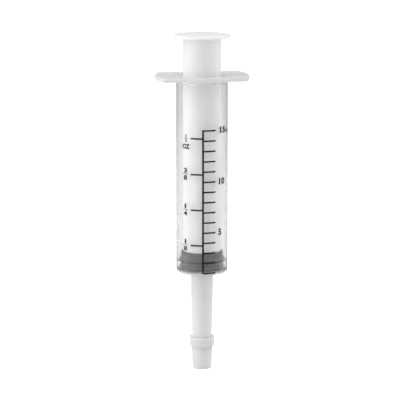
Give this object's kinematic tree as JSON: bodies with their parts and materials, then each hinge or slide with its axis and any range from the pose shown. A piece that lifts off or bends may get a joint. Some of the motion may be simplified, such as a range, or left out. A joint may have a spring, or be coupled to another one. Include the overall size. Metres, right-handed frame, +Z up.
{
  "type": "medicine dropper",
  "caption": "Plunger-type oral medicine dropper: clear graduated barrel with a finger flange, hollow plunger on a rubber seal, push-on tapered tip and push-on cap.",
  "frame": {"origin": "centre of the cap's flat closed end, on the common axis of all the pieces", "axes": "+Z up the common axis from the cap's end to the thumb rest, X along the finger flange's long direction, -Y through the side that carries the printed scale"},
  "size_m": [0.0358, 0.022, 0.1308],
  "materials": {
    "clear_barrel": "clear, slightly hazy moulded polypropylene with a smooth gloss, printed with a black scale",
    "seal_rubber": "dark grey moulded rubber, satin",
    "plunger_plastic": "white moulded polypropylene, semi-gloss",
    "tip_plastic": "milky, slightly translucent soft polyethylene, satin",
    "cap_plastic": "milky, slightly translucent soft polyethylene, satin",
    "scale_ink": "black printing ink on the outside of the barrel"
  },
  "bodies": {
    "barrel": {"barrel": "clear_barrel"},
    "seal": {"piston_seal": "seal_rubber"},
    "plunger": {"plunger": "plunger_plastic"},
    "tip": {"dropper_tip": "tip_plastic"},
    "cap": {"tip_cap": "cap_plastic"}
  },
  "joints": [
    {"name": "plunger_slide", "type": "slide", "parent": "barrel", "child": "seal", "axis": [0, 0, 1], "range_m": [0, 0.0677]},
    {"name": "plunger_turn", "type": "hinge", "parent": "seal", "child": "plunger", "pos_m": [0, 0, 0.05], "axis": [0, 0, 1], "continuous": true},
    {"name": "tip_pull", "type": "slide", "parent": "barrel", "child": "tip", "axis": [0, 0, -1], "range_m": [0, 0.015]},
    {"name": "cap_pull", "type": "slide", "parent": "tip", "child": "cap", "axis": [0, 0, -1], "range_m": [0, 0.015]}
  ]
}
